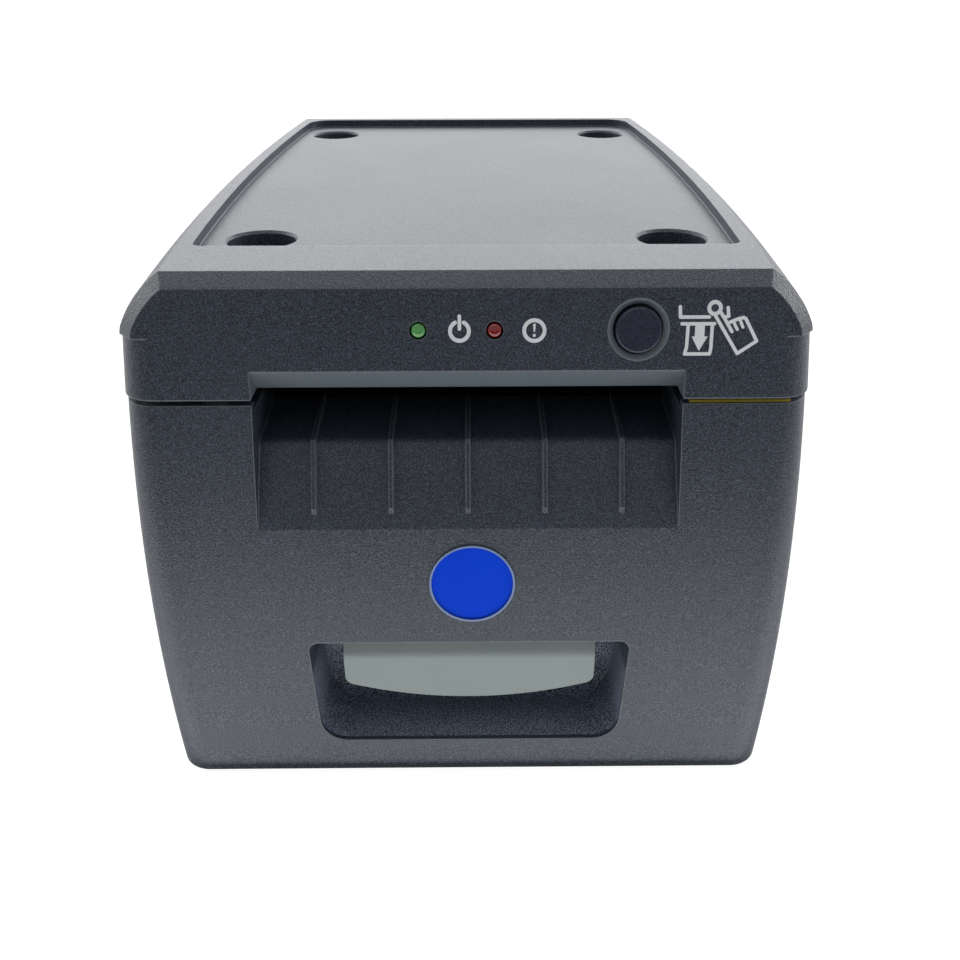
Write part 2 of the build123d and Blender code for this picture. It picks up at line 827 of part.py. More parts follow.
def chassis_frame(side):
    """Sheet-steel side plate with its top flange under the track ledge; side is -1 or 1."""
    inner, outer = frame_inner_x, frame_inner_x + frame_thickness
    plate = across(frame_outline(side > 0), inner, outer)
    near, far = front_roller_y - 14, rear_roller_y + 30
    flange = block(
        inner, channel_half + channel_wall, near, far, ledge_under - frame_thickness, ledge_under
    )
    plate += flange
    for y in (front_roller_y, rear_roller_y):
        plate -= rod(inner - 1, outer + 1, y, shaft_z, bush_radius)
    for y in frame_screw_points():
        plate -= post(frame_screw_x(), y, 0, height, screw_radius)
    if side > 0:
        plate -= rod(inner - 1, outer + 1, motor_y, motor_z, motor_shaft_radius + 2)
        plate -= rod(inner - 1, outer + 1, reduction_y, reduction_z, axle_radius)
    else:
        plate = mirror(plate, about=Plane.YZ)
    return plate.solid()


def frame_screw_x():
    return channel_half + channel_wall - frame_screw_head


def frame_screw_points():
    return (front_roller_y + 10, rear_roller_y - 10)


def shaft_bushes():
    bushes = []
    for y in (front_roller_y, rear_roller_y):
        start = frame_inner_x - bush_flange_thickness
        bush = rod(start, frame_inner_x, y, shaft_z, bush_flange)
        bush += rod(start, start + bush_length, y, shaft_z, bush_radius)
        bush -= rod(0, width, y, shaft_z, shaft_radius + running)
        bushes += both(bush)
    return spread(bushes)


def drive_shaft(y):
    end = pulley_start + pulley_width + 1
    bar = rod(-frame_inner_x - bush_length, end, y, shaft_z, shaft_radius)
    return chamfer(bar.edges().filter_by(GeomType.CIRCLE), 0.5)


def drive_rollers(y):
    roller = rod(
        roller_x - drive_roller_width / 2, roller_x + drive_roller_width / 2, y, shaft_z, drive_roller_radius
    )
    roller -= rod(0, width, y, shaft_z, shaft_radius)
    return spread(both(roller))


def pulley_body(y, z, radius):
    """Flanged belt pulley."""
    pulley = rod(pulley_start, pulley_start + pulley_width, y, z, radius)
    for x in (pulley_start, pulley_start + pulley_width - pulley_rim):
        pulley += rod(x, x + pulley_rim, y, z, radius + pulley_rim_height)
    return pulley


def drive_pulley(y):
    return (pulley_body(y, shaft_z, pulley_radius) - rod(0, width, y, shaft_z, shaft_radius)).solid()


def timing_belt():
    """Closed belt round both drive pulleys and the reduction gear's pulley."""
    middle = pulley_start + pulley_width / 2
    loops = []
    for grow in (running + belt_thickness, running):
        rounds = [
            Pos(front_roller_y, shaft_z) * Circle(pulley_radius + grow),
            Pos(rear_roller_y, shaft_z) * Circle(pulley_radius + grow),
            Pos(reduction_y, reduction_z) * Circle(small_pulley_radius + grow),
        ]
        hull = make_hull([edge for circle in rounds for edge in circle.edges()])
        loops.append(across(hull, middle - belt_width / 2, middle + belt_width / 2))
    return loops[0] - loops[1]


def gear_outline(teeth, phase):
    """Straight-flanked gear teeth; phase is the angle in degrees of one tooth's middle."""
    pitch = 360 / teeth
    radius = gear_module * teeth / 2
    root, tip = radius - 1.1 * gear_module, radius + 0.85 * gear_module
    points = []
    for n in range(teeth):
        middle = phase + n * pitch
        for reach, share in ((root, -0.32), (tip, -0.13), (tip, 0.13), (root, 0.32)):
            points.append(polar((0, 0), reach, math.radians(middle + share * pitch)))
    return side_polygon(*points)


def motor_pinion():
    toward_gear = 180 - motor_angle
    phase = toward_gear + 180 / pinion_teeth
    outline = Pos(motor_y, motor_z) * gear_outline(pinion_teeth, phase)
    teeth = across(outline, gear_start, gear_start + gear_width)
    return (teeth - rod(0, width, motor_y, motor_z, motor_shaft_radius)).solid()


def motor_shaft():
    return rod(frame_inner_x - 6, gear_start + gear_width, motor_y, motor_z, motor_shaft_radius)


def reduction_gear():
    """Compound gear: the big wheel meshes with the pinion, the small pulley drives the belt."""
    teeth = Pos(reduction_y, reduction_z) * gear_outline(reduction_teeth, -motor_angle)
    gear = across(teeth, gear_start, gear_start + gear_width)
    gear += rod(gear_start + gear_width, pulley_start, reduction_y, reduction_z, small_pulley_radius)
    gear += pulley_body(reduction_y, reduction_z, small_pulley_radius)
    return (gear - rod(0, width, reduction_y, reduction_z, axle_radius + running)).solid()


def reduction_axle():
    end = pulley_start + pulley_width
    axle = rod(frame_inner_x, end, reduction_y, reduction_z, axle_radius)
    seat, shoulder = frame_inner_x + frame_thickness, gear_start - clearance
    spacer = rod(seat, shoulder, reduction_y, reduction_z, axle_radius + 1.5)
    return (axle + spacer + rod(end + clearance, end + 1.5, reduction_y, reduction_z, axle_radius + 1.5)
            + rod(end, end + 1, reduction_y, reduction_z, axle_radius)).solid()


def drive_motor():
    """Stepping motor on the inner face of the drive-side plate."""
    start = frame_inner_x - motor_length
    can = rod(start, frame_inner_x - 1.2, motor_y, motor_z, motor_radius)
    can = fillet(can.edges().filter_by(GeomType.CIRCLE), 1.0)
    flange = rod(frame_inner_x - 1.2, frame_inner_x, motor_y, motor_z, motor_radius)
    motor = can + flange
    bore = rod(frame_inner_x - 8, frame_inner_x, motor_y, motor_z, motor_shaft_radius + running)
    return (motor - bore).solid()


def pinch_shaft(y):
    end = pinch_bearing_x + pinch_bearing_width / 2 + 1.5
    return rod(-end, end, y, pinch_z, pinch_shaft_radius)


def pinch_rollers(y):
    half = drive_roller_width / 2
    roller = rod(roller_x - half, roller_x + half, y, pinch_z, pinch_radius)
    return spread(both(roller - rod(0, width, y, pinch_z, pinch_shaft_radius)))


def release_lever():
    """Cover release: a finger tab in the pocket on a bent stem that hangs from the latch shaft."""
    tab_face = front_y(tab_floor, base_inset) + tab_setback
    tab_back = tab_face + tab_thickness
    knee = pocket_top - 6.5
    stem_face = tab_face + tab_setback
    outline = side_polygon(
        (tab_face, tab_floor), (tab_face, knee), (stem_face, pocket_top + 1.5), (stem_face, latch_z - 7),
        (latch_y - 3, latch_z + 3.5), (latch_y, latch_z - latch_hub_radius + 0.2),
        (stem_face + stem_width, latch_z - 10), (stem_face + stem_width, pocket_top + 2.0),
        (tab_back, knee - 1), (tab_back, tab_floor)
    )
    bends = [v for v in outline.vertices() if knee - 2 < v.Y < knee + 1]
    outline = fillet(bends, 4.0)
    lever = across(outline, -tab_half, tab_half) & lever_front()
    lever += rod(-stem_half, stem_half, latch_y, latch_z, latch_hub_radius)
    lever -= rod(-width, width, latch_y, latch_z, latch_shaft_radius)
    return lever.solid()


def lever_front():
    """Front view of the lever: bowed lower edge, wide tab, narrower stem."""
    neck = pocket_top + wall + 1
    top = latch_z + latch_hub_radius
    edge = tab_floor + tab_rise
    outline = make_face([
        ThreePointArc((-tab_half, edge), (0, tab_floor), (tab_half, edge)),
        Polyline(
            (tab_half, edge), (tab_half, neck), (stem_half, neck + 6), (stem_half, top),
            (-stem_half, top), (-stem_half, neck + 6), (-tab_half, neck), (-tab_half, edge)
        ),
    ])
    corners = [v for v in outline.vertices() if abs(v.Y - edge) < 0.01]
    outline = fillet(corners, tab_corner)
    return extrude(Pos(0, rear, 0) * (Plane.XZ * outline), length * 2, dir=(0, -1, 0))


def latch_shaft():
    end = hook_x + hook_thickness / 2 + 3 + lug_thickness + 1
    return rod(-end, end, latch_y, latch_z, latch_shaft_radius)


def latch_hook():
    """Upright arm with a forward nose that holds the striker's ledge."""
    top = latch_z + hook_height + nose_height
    nose_z = latch_z + hook_height
    tip = latch_y - hook_reach
    arm_face = tip + nose_length
    arm_back = arm_face + hook_arm
    outline = side_polygon(
        (latch_y - 3.5, latch_z), (arm_face, latch_z + 10), (arm_face, nose_z), (tip, nose_z),
        (tip, nose_z + 1.4), (arm_face, top), (arm_back, top), (arm_back, latch_z + 10), (latch_y + 3.5, latch_z)
    )
    half = hook_thickness / 2
    hook = across(outline, hook_x - half, hook_x + half)
    hook += rod(hook_x - half, hook_x + half, latch_y, latch_z, latch_hub_radius)
    return (hook - rod(0, width, latch_y, latch_z, latch_shaft_radius)).solid()


def latch_striker():
    """Steel hanger under the liner with the ledge that one hook holds down."""
    ledge_tip = latch_y - hook_reach - latch_gap
    back = ledge_tip - ledge_reach
    face = back - striker_thickness
    ledge_top = latch_z + hook_height - latch_gap
    ledge_low = ledge_top - 2.2
    half = striker_width / 2
    outline = side_polygon(
        (face, seam_high), (face, ledge_low), (ledge_tip, ledge_low), (ledge_tip, ledge_top),
        (back, ledge_top), (back, seam_high - 1.2), (back + 9, seam_high - 1.2), (back + 9, seam_high)
    )
    return across(outline, hook_x - half, hook_x + half)


def hinge_pins():
    inner = hinge_x - hinge_lug_width / 2 - clearance - hinge_boss_width
    outer = hinge_x + hinge_lug_width / 2 + clearance + hinge_boss_width
    return spread(both(rod(inner, outer, hinge_y, hinge_z, hinge_pin_radius)))


def panel_led(x):
    """Round indicator lamp with a domed tip, standing on the indicator board."""
    lamp = panel_rod(x, -panel_board_depth, led_proud, led_radius)
    tip = lamp.edges().filter_by(GeomType.CIRCLE).sort_by(Axis.Y)[0]
    lamp = fillet(tip, led_radius * 0.8)
    return (lamp + panel_rod(x, -panel_board_depth, -wall - 1.2, led_hole)).solid()


def indicator_board():
    half = panel_board_height / 2
    back = -panel_board_depth - board_thickness
    return panel_block(panel_board_left, panel_board_right, -half, half, back, -panel_board_depth)


def button_switch():
    half = switch_size / 2
    top = -panel_board_depth + switch_height
    body = panel_block(button_x - half, button_x + half, -half, half, -panel_board_depth, top)
    return body - panel_rod(button_x, top - 2.6, top + 1, button_stem - 0.3 + running)


def switch_plunger():
    top = -panel_board_depth + switch_height
    return panel_rod(button_x, top - 1.2, button_stem_end(), button_stem - 0.3)


def button_stem_end():
    return -panel_board_depth + switch_height + button_travel + 0.2


def eject_button():
    """Round key with a domed face, a retaining flange behind the panel and a stem on the switch."""
    back = -wall - clearance
    cap = panel_rod(button_x, back, button_proud, button_radius)
    rim = cap.edges().filter_by(GeomType.CIRCLE).sort_by(Axis.Y)[0]
    cap = fillet(rim, 0.7)
    cap += panel_rod(button_x, back - button_flange_thickness, back, button_flange)
    cap += panel_rod(button_x, button_stem_end(), back - button_flange_thickness, button_stem)
    return cap.solid()


def badge_face():
    return badge_disc(badge_radius - badge_rim, -badge_recess, -0.1)


def badge_ring():
    return badge_disc(badge_radius, -badge_recess, 0.35) - badge_disc(badge_radius - badge_rim, -1, 1)


def seam_strip():
    """Narrow strip on the front rim, in the seam at the right."""
    near = front_y(seam_low, base_inset) + 0.5
    return block(strip_left, strip_right, near + 0.2, near + strip_width, seam_low, seam_low + strip_height) & (
        body_form(base_inset + 0.4, seam_low - 5)
    )


def bottom_plate():
    plate = body_form(base_inner + bottom_gap, foot_height) & block(
        -width, width, front, rear, foot_height, bottom_top
    )
    for x, y in foot_points():
        plate -= post(x, y, 0, foot_height + foot_recess, foot_radius + 0.1)
    for x, y in base_screw_points():
        plate -= both(post(x, y, 0, height, screw_radius))
        plate -= both(post(x, y, 0, foot_height + screw_head_height / 2, screw_head))
    for x, y in standoff_points():
        plate += post(x, y, bottom_top - 0.5, board_height, standoff_radius)
    return plate.solid()


def foot_points():
    return [(x, y) for x in (-foot_x, foot_x) for y in (front + foot_front, rear - foot_rear)]


def rubber_feet():
    feet = []
    for x, y in foot_points():
        foot = post(x, y, 0, foot_height + foot_recess, foot_radius)
        feet.append(chamfer(foot.edges().filter_by(GeomType.CIRCLE).group_by(Axis.Z)[0], 0.6))
    return spread(feet)


def board_span():
    far = rear - base_inner - 1
    return far - board_depth, far


def standoff_points():
    near, far = board_span()
    return [(x, y) for x in (-board_half + 5, board_half - 5) for y in (near + 5, far - 5)]


def main_board():
    """Controller board with its larger components."""
    near, far = board_span()
    top = board_height + board_thickness
    board = block(-board_half, board_half, near, far, board_height, top)
    for x, y, w, d, h in ((-20, near + 40, 20, 20, 2.5), (18, near + 34, 14, 14, 2), (-34, near + 84, 12, 18, 2.5)):
        board += block(x - w / 2, x + w / 2, y - d / 2, y + d / 2, top - 0.1, top + h)
    for n in range(3):
        board += post(-46 + n * 11, far - 22, top - 0.1, top + 11, 4)
    return board.solid()


def power_jack():
    z = board_height + board_thickness
    face = rear - base_inner - clearance
    half = jack_width / 2
    axis_z = z + jack_height / 2
    body = block(jack_x - half, jack_x + half, face - jack_depth, face, z, z + jack_height)
    bore_middle = face - jack_bore_depth / 2
    body -= Pos(jack_x, bore_middle, axis_z) * Rot(90, 0, 0) * Cylinder(jack_bore, jack_bore_depth)
    pin = Pos(jack_x, bore_middle - 1, axis_z) * Rot(90, 0, 0) * Cylinder(jack_pin, jack_bore_depth - 2)
    return (body + pin).solid()


def usb_port():
    z = board_height + board_thickness
    face = rear - base_inset - 0.4
    half = usb_width / 2
    body = block(usb_x - half, usb_x + half, face - usb_depth, face, z, z + usb_height)
    middle = z + usb_height / 2
    mouth, rise = usb_mouth_width / 2, usb_mouth_height / 2
    body -= block(usb_x - mouth, usb_x + mouth, face - usb_depth + 4, face, middle - rise, middle + rise)
    tongue, lift = usb_tongue_width / 2, usb_tongue_height / 2
    body += block(
        usb_x - tongue, usb_x + tongue, face - usb_depth + 3, face - 1.5, middle - lift, middle + lift
    )
    return body.solid()


def screw(x, y, head_z, up, head_radius):
    """Pan-head screw whose shank points up from its head at head_z."""
    head = post(x, y, head_z - screw_head_height, head_z, head_radius)
    head = fillet(head.edges().group_by(Axis.Z)[0], 0.6)
    return head + post(x, y, head_z - 0.1, head_z + up, screw_radius)


def bottom_screws():
    screws = []
    for x, y in base_screw_points():
        seat = foot_height + screw_head_height / 2
        screws += both(screw(x, y, seat, bottom_top + screw_length - 2 - seat, screw_head))
    return spread(screws)


def frame_screws():
    screws = []
    for y in frame_screw_points():
        head = ledge_under - frame_thickness
        screws += both(screw(frame_screw_x(), y, head, plate_under - head - 0.2, frame_screw_head))
    return spread(screws)


def cover_screws():
    screws = []
    for x, y in cover_screw_points():
        flat = post(x, y, seam_high - 0.9, seam_high, screw_head)
        screws += both(flat + post(x, y, seam_high - 0.1, liner_top + screw_length - 2, screw_radius))
    return spread(screws)


def model():
    lower_base = {
        "lower_housing": lower_housing(),
        "bottom_plate": bottom_plate(),
        "rubber_feet": rubber_feet(),
        "bottom_screws": bottom_screws(),
        "left_frame": chassis_frame(-1),
        "right_frame": chassis_frame(1),
        "frame_screws": frame_screws(),
        "shaft_bushes": shaft_bushes(),
        "lower_track_plate": lower_track_plate(),
        "lower_image_sensor": image_sensor(lower_sensor_y, plate_under - sensor_height),
        "lower_sensor_glass": sensor_glass(lower_sensor_y, plate_under),
        "micr_head": micr_head(),
        "document_sensors": document_sensors(),
        "main_board": main_board(),
        "power_jack": power_jack(),
        "usb_port": usb_port(),
        "drive_motor": drive_motor(),
        "reduction_axle": reduction_axle(),
        "timing_belt": timing_belt(),
        "seam_strip": seam_strip(),
        "badge_face": badge_face(),
        "badge_ring": badge_ring(),
    }
    moving = {
        "motor_shaft": motor_shaft(),
        "motor_pinion": motor_pinion(),
        "reduction_gear": reduction_gear(),
        "front_drive_shaft": drive_shaft(front_roller_y),
        "front_drive_rollers": drive_rollers(front_roller_y),
        "front_pulley": drive_pulley(front_roller_y),
        "rear_drive_shaft": drive_shaft(rear_roller_y),
        "rear_drive_rollers": drive_rollers(rear_roller_y),
        "rear_pulley": drive_pulley(rear_roller_y),
        "front_pinch_shaft": pinch_shaft(front_roller_y),
        "front_pinch_rollers": pinch_rollers(front_roller_y),
        "rear_pinch_shaft": pinch_shaft(rear_roller_y),
        "rear_pinch_rollers": pinch_rollers(rear_roller_y),
        "release_lever": release_lever(),
        "latch_shaft": latch_shaft(),
        "latch_hooks": spread(both(latch_hook())),
        "eject_button": eject_button(),
        "switch_plunger": switch_plunger(),
    }
    cover = {
        "top_cover": top_cover(),
        "cover_liner": cover_liner(),
        "latch_strikers": spread(both(latch_striker())),
        "hinge_pins": hinge_pins(),
        "cover_screws": cover_screws(),
        "upper_image_sensor": image_sensor(upper_sensor_y, upper_track + plate_thickness),
        "upper_sensor_glass": sensor_glass(upper_sensor_y, upper_track + plate_thickness - glass_thickness),
        "indicator_board": indicator_board(),
        "power_led": panel_led(power_led_x),
        "alert_led": panel_led(alert_led_x),
        "button_switch": button_switch(),
    }
    return {**lower_base, **moving, **cover}


os.makedirs("parts", exist_ok=True)
for name, shape in model().items():
    export_step(shape, f"parts/{name}.step")
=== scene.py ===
"""Looks of a desktop cheque scanner: shell, stacking tray, document slot, operator panel, release pocket."""
import json
import math

import bmesh
import bpy
from mathutils import Matrix, Vector


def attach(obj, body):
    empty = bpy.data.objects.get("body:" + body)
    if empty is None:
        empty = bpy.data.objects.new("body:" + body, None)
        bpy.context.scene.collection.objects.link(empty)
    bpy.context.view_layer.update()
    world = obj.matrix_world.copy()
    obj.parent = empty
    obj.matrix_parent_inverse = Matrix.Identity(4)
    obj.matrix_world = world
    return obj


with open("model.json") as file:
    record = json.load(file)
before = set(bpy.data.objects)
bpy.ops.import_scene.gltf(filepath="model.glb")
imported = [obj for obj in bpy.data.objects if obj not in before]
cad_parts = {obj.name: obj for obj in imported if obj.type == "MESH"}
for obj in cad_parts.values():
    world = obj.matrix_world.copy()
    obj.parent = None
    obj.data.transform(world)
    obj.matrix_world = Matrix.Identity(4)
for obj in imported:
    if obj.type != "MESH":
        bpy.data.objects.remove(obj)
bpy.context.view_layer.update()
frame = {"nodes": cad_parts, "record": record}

MM = 0.001

# Sizes repeated from the part's source, in millimetres: the bowed front, the panel, the tray and the button
FRONT_RADIUS = 600.0
FRONT_FOOT_Y = -117.5
FRONT_FOOT_Z = 1.0
PANEL_Z = 115.6
TRAY_FLOOR_Z = 124.5
BUTTON_X = 36.4

# Places on the shell with painted light (slot bevel, release pocket, button ring) or a shallower, duller grain
# (tray floor), in millimetres: boxes by two opposite corners, the radius of the button ring's middle line, and
# half the width of the ring and of the band of the tray floor
MOUTH_BEVEL = ((-46.8, -115.0, 101.0), (46.8, -100.0, 107.1))
POCKET_ROOM = ((-41.0, -115.6, 9.0), (41.0, -80.0, 31.5))
BUTTON_PLACE = ((29.0, -115.0, 108.0), (44.0, -100.0, 123.0))
BUTTON_RING_RADIUS = 5.95
BUTTON_RING_HALF = 0.65
TRAY_FLOOR_HALF = 0.3


def front_y(z):
    """Y of the bowed front face at height z, both in millimetres."""
    return FRONT_FOOT_Y + FRONT_RADIUS - math.sqrt(FRONT_RADIUS**2 - (z - FRONT_FOOT_Z) ** 2)


# ---------------------------------------------------------------- camera

# Millimetres and degrees
LENS = 37.1
SENSOR = 36.0
CAMERA_AT = (1.2, -305.7, 186.9)
CAMERA_DOWN = 28.28
CAMERA_RIGHT = 0.44
CAMERA_ROLL = 0.12


def set_camera():
    data = bpy.data.cameras.new("camera")
    data.lens = LENS
    data.sensor_width = SENSOR
    data.clip_start = 10 * MM
    camera = bpy.data.objects.new("camera", data)
    bpy.context.scene.collection.objects.link(camera)
    turn = Matrix.Rotation(-math.radians(CAMERA_RIGHT), 4, "Z")
    tilt = Matrix.Rotation(math.radians(90 - CAMERA_DOWN), 4, "X")
    roll = Matrix.Rotation(-math.radians(CAMERA_ROLL), 4, "Z")
    camera.matrix_world = Matrix.Translation([v * MM for v in CAMERA_AT]) @ turn @ tilt @ roll
    bpy.context.scene.camera = camera


# ---------------------------------------------------------------- material tools

# Sockets of a Mix node that mixes colours
FIRST, SECOND, MIXED = 6, 7, 2

# The span that the values of a noise pattern mostly fill
NOISE_SPAN = {"From Min": 0.3, "From Max": 0.7}

# Cosine between the rounded and the flat normal where the edge's colour (wear, and on textured ABS also a
# painted highlight) begins, and where it is full
EDGE_BEGINS = 0.99
EDGE_FULL = 0.85

BEVEL_SAMPLES = 6


def linear(code):
    """Linear colour of an sRGB hex value."""
    parts = [int(code[i:i + 2], 16) / 255 for i in (0, 2, 4)]
    return [p / 12.92 if p <= 0.04045 else ((p + 0.055) / 1.055) ** 2.4 for p in parts] + [1.0]


def per_mm(size):
    """Texture scale that gives features of this size in millimetres."""
    return 1 / (size * MM)


def add(tree, kind, inputs=None, **settings):
    """Adds a shader node, sets its properties, and sets or links its sockets."""
    node = tree.nodes.new("ShaderNode" + kind)
    for name, value in settings.items():
        setattr(node, name, value)
    for name, value in (inputs or {}).items():
        if isinstance(value, bpy.types.NodeSocket):
            tree.links.new(value, node.inputs[name])
        else:
            node.inputs[name].default_value = value
    return node


def new_material(name, **shader):
    """A material whose Principled shader has these values, with its tree, its shader and its coordinates.

    The coordinates are in metres and stay with the piece.
    """
    material = bpy.data.materials.new(name)
    material.use_nodes = True
    tree = material.node_tree
    tree.nodes.clear()
    surface = add(tree, "BsdfPrincipled", {k.replace("_", " "): v for k, v in shader.items()})
    add(tree, "OutputMaterial", {"Surface": surface.outputs[0]})
    at = add(tree, "TexCoord").outputs["Object"]
    return material, tree, surface, at


def link_finish(tree, surface, toned, dull=None, bump=None):
    """Links the nodes that give a material its colour, roughness and relief to its shader."""
    tree.links.new(toned.outputs[MIXED], surface.inputs["Base Color"])
    if dull is not None:
        tree.links.new(dull.outputs[0], surface.inputs["Roughness"])
    if bump is not None:
        tree.links.new(bump.outputs[0], surface.inputs["Normal"])


def edge_wear_and_highlight_mask(tree, rounded):
    """1 along outer edges, where the rounded normal leaves the flat one, and 0 on faces."""
    flat = add(tree, "NewGeometry").outputs["Normal"]
    same = add(tree, "VectorMath", {0: rounded, 1: flat}, operation="DOT_PRODUCT")
    wear = add(tree, "MapRange", {
        "Value": same.outputs["Value"], "From Min": EDGE_BEGINS, "From Max": EDGE_FULL,
    })
    return wear.outputs[0]


def inside(tree, at, low, high):
    """1 inside the box between two corners in millimetres, and 0 outside it."""
    axes = add(tree, "SeparateXYZ", {0: at}).outputs
    found = 1.0
    for axis, a, b in zip("XYZ", low, high):
        middle, half = (a + b) / 2 * MM, (b - a) / 2 * MM
        hit = add(tree, "Math", {0: axes[axis], 1: middle, 2: half}, operation="COMPARE").outputs[0]
        found = add(tree, "Math", {0: found, 1: hit}, operation="MULTIPLY").outputs[0]
    return found


def button_ring(tree, at):
    """1 on the dished ring round the button, and 0 elsewhere."""
    flat = add(tree, "VectorMath", {0: at, 1: (1, 0, 1)}, operation="MULTIPLY").outputs[0]
    axis = (BUTTON_X * MM, 0, PANEL_Z * MM)
    far = add(tree, "VectorMath", {0: flat, 1: axis}, operation="DISTANCE").outputs["Value"]
    middle, half = BUTTON_RING_RADIUS * MM, BUTTON_RING_HALF * MM
    ring = add(tree, "Math", {0: far, 1: middle, 2: half}, operation="COMPARE").outputs[0]
    near = inside(tree, at, *BUTTON_PLACE)
    return add(tree, "Math", {0: ring, 1: near}, operation="MULTIPLY").outputs[0]


# ---------------------------------------------------------------- finishes

# Depth of the grain on the shell and in the tray floor, in millimetres
SHELL_GRAIN_DEPTH = 0.06
TRAY_GRAIN_DEPTH = 0.015


def textured_abs(name, colour, crest_and_glint, rubbed_and_highlight, grain, depth, roughness, edge):
    """Injection-moulded ABS with a spark-eroded texture: a dull grain whose crests are painted pale as glints,
    and edges painted pale, partly as rubbed wear and partly as a painted highlight.

    The real grain, about 0.1 mm, is too fine to show, so it is drawn about three times as coarse.
    Returns the material and the nodes that a variant changes.
    """
    material, tree, surface, at = new_material(name, IOR=1.54)
    fine = add(tree, "TexNoise", {"Vector": at, "Scale": per_mm(grain), "Detail": 1.0, "Roughness": 0.6})
    pits = add(tree, "TexVoronoi", {"Vector": at, "Scale": per_mm(grain * 1.3)})
    broad = add(tree, "TexNoise", {"Vector": at, "Scale": per_mm(38), "Detail": 2.0})
    rounded = add(tree, "Bevel", {"Radius": edge * MM}, samples=BEVEL_SAMPLES).outputs[0]
    # Painted glints: the grain's crests are painted paler, as the glints they catch
    painted_glints = add(tree, "MapRange", {
        "Value": fine.outputs[0], "From Min": 0.42, "From Max": 0.72, "To Max": 0.9,
    })
    speckled = add(tree, "Mix", {
        "Factor": painted_glints.outputs[0], FIRST: linear(colour), SECOND: linear(crest_and_glint),
    }, data_type="RGBA")
    patch = add(tree, "MapRange", {"Value": broad.outputs[0], **NOISE_SPAN, "To Max": 0.05})
    patched = add(tree, "Mix", {
        "Factor": patch.outputs[0], FIRST: speckled.outputs[MIXED], SECOND: linear(crest_and_glint),
    }, data_type="RGBA")
    # Edges painted paler: partly rubbed wear, partly a painted highlight
    edge_wear_and_highlight = add(tree, "Math", {0: edge_wear_and_highlight_mask(tree, rounded), 1: 0.6}, operation="MULTIPLY")
    toned = add(tree, "Mix", {
        "Factor": edge_wear_and_highlight.outputs[0], FIRST: patched.outputs[MIXED], SECOND: linear(rubbed_and_highlight),
    }, data_type="RGBA")
    dull = add(tree, "MapRange", {
        "Value": broad.outputs[0], **NOISE_SPAN,
        "To Min": roughness - 0.01, "To Max": roughness + 0.015,
    })
    height = add(tree, "Math", {0: fine.outputs[0], 1: pits.outputs[0]}, operation="ADD")
    bump = add(tree, "Bump", {"Height": height.outputs[0], "Distance": depth * MM, "Normal": rounded})
    link_finish(tree, surface, toned, dull, bump)
    return {
        "material": material, "tree": tree, "surface": surface, "at": at,
        "painted_glints": painted_glints, "toned": toned, "dull": dull, "bump": bump,
    }


def shell_abs():
    """Charcoal textured ABS: shallower and duller in the tray floor. Painted light: a paler sheen on the
    slot's bevel, pale light in the release pocket and highlights on the button ring.
    """
    made = textured_abs(
        "charcoal_textured_abs", "121A28", "545D6B", "969EA3",
        grain=0.31, depth=SHELL_GRAIN_DEPTH, roughness=0.4, edge=0.45,
    )
    tree, at, toned = made["tree"], made["at"], made["toned"]
    for mask, share, pale in (
        # Painted sheen: the bevel above the slot's mouth is painted paler, as the sheen it shows
        (inside(tree, at, *MOUTH_BEVEL), 0.8, "68737A"),
        # Painted light: the release pocket is painted pale blue-grey on the grain's crests, as the light
        # reaching into it
        (inside(tree, at, *POCKET_ROOM), made["painted_glints"].outputs[0], "B3C2DA"),
        # Painted highlight: the dished ring round the button is painted paler, as the highlights it catches
        (button_ring(tree, at), 0.7, "848E94"),
    ):
        painted_light = add(tree, "Math", {0: mask, 1: share}, operation="MULTIPLY")
        toned = add(tree, "Mix", {
            "Factor": painted_light.outputs[0], FIRST: toned.outputs[MIXED], SECOND: linear(pale),
        }, data_type="RGBA")
    height = add(tree, "SeparateXYZ", {0: at}).outputs["Z"]
    middle, half = TRAY_FLOOR_Z * MM, TRAY_FLOOR_HALF * MM
    floor = add(tree, "Math", {0: height, 1: middle, 2: half}, operation="COMPARE").outputs[0]
    smooth = add(tree, "MapRange", {
        "Value": floor, "To Min": SHELL_GRAIN_DEPTH * MM, "To Max": TRAY_GRAIN_DEPTH * MM,
    })
    tree.links.new(smooth.outputs[0], made["bump"].inputs["Distance"])
    duller = add(tree, "MapRange", {"Value": floor, "To Min": 0.0, "To Max": 0.05})
    rough = add(tree, "Math", {0: made["dull"].outputs[0], 1: duller.outputs[0]}, operation="ADD")
    link_finish(tree, made["surface"], toned, rough)
    return made["material"]


def moulded(name, colour, worn, roughness, edge=0.3, grain=0.8, depth=0.008, **shader):
    """Injection-moulded plastic: satin and nearly smooth, with faint flow marks and rubbed edges."""
    material, tree, surface, at = new_material(name, **shader)
    fine = add(tree, "TexNoise", {"Vector": at, "Scale": per_mm(grain), "Detail": 4.0})
    broad = add(tree, "TexNoise", {"Vector": at, "Scale": per_mm(14), "Detail": 3.0})
    rounded = add(tree, "Bevel", {"Radius": edge * MM}, samples=BEVEL_SAMPLES).outputs[0]
    wear = add(tree, "Math", {0: edge_wear_and_highlight_mask(tree, rounded), 1: 0.35}, operation="MULTIPLY").outputs[0]
    patch = add(tree, "MapRange", {"Value": broad.outputs[0], **NOISE_SPAN, "To Max": 0.12})
    patched = add(tree, "Mix", {
        "Factor": patch.outputs[0], FIRST: linear(colour), SECOND: linear(worn),
    }, data_type="RGBA")
    toned = add(tree, "Mix", {
        "Factor": wear, FIRST: patched.outputs[MIXED], SECOND: linear(worn),
    }, data_type="RGBA")
    dull = add(tree, "MapRange", {
        "Value": broad.outputs[0], **NOISE_SPAN,
        "To Min": roughness - 0.03, "To Max": roughness + 0.05,
    })
    bump = add(tree, "Bump", {"Height": fine.outputs[0], "Distance": depth * MM, "Normal": rounded})
    link_finish(tree, surface, toned, dull, bump)
    return material


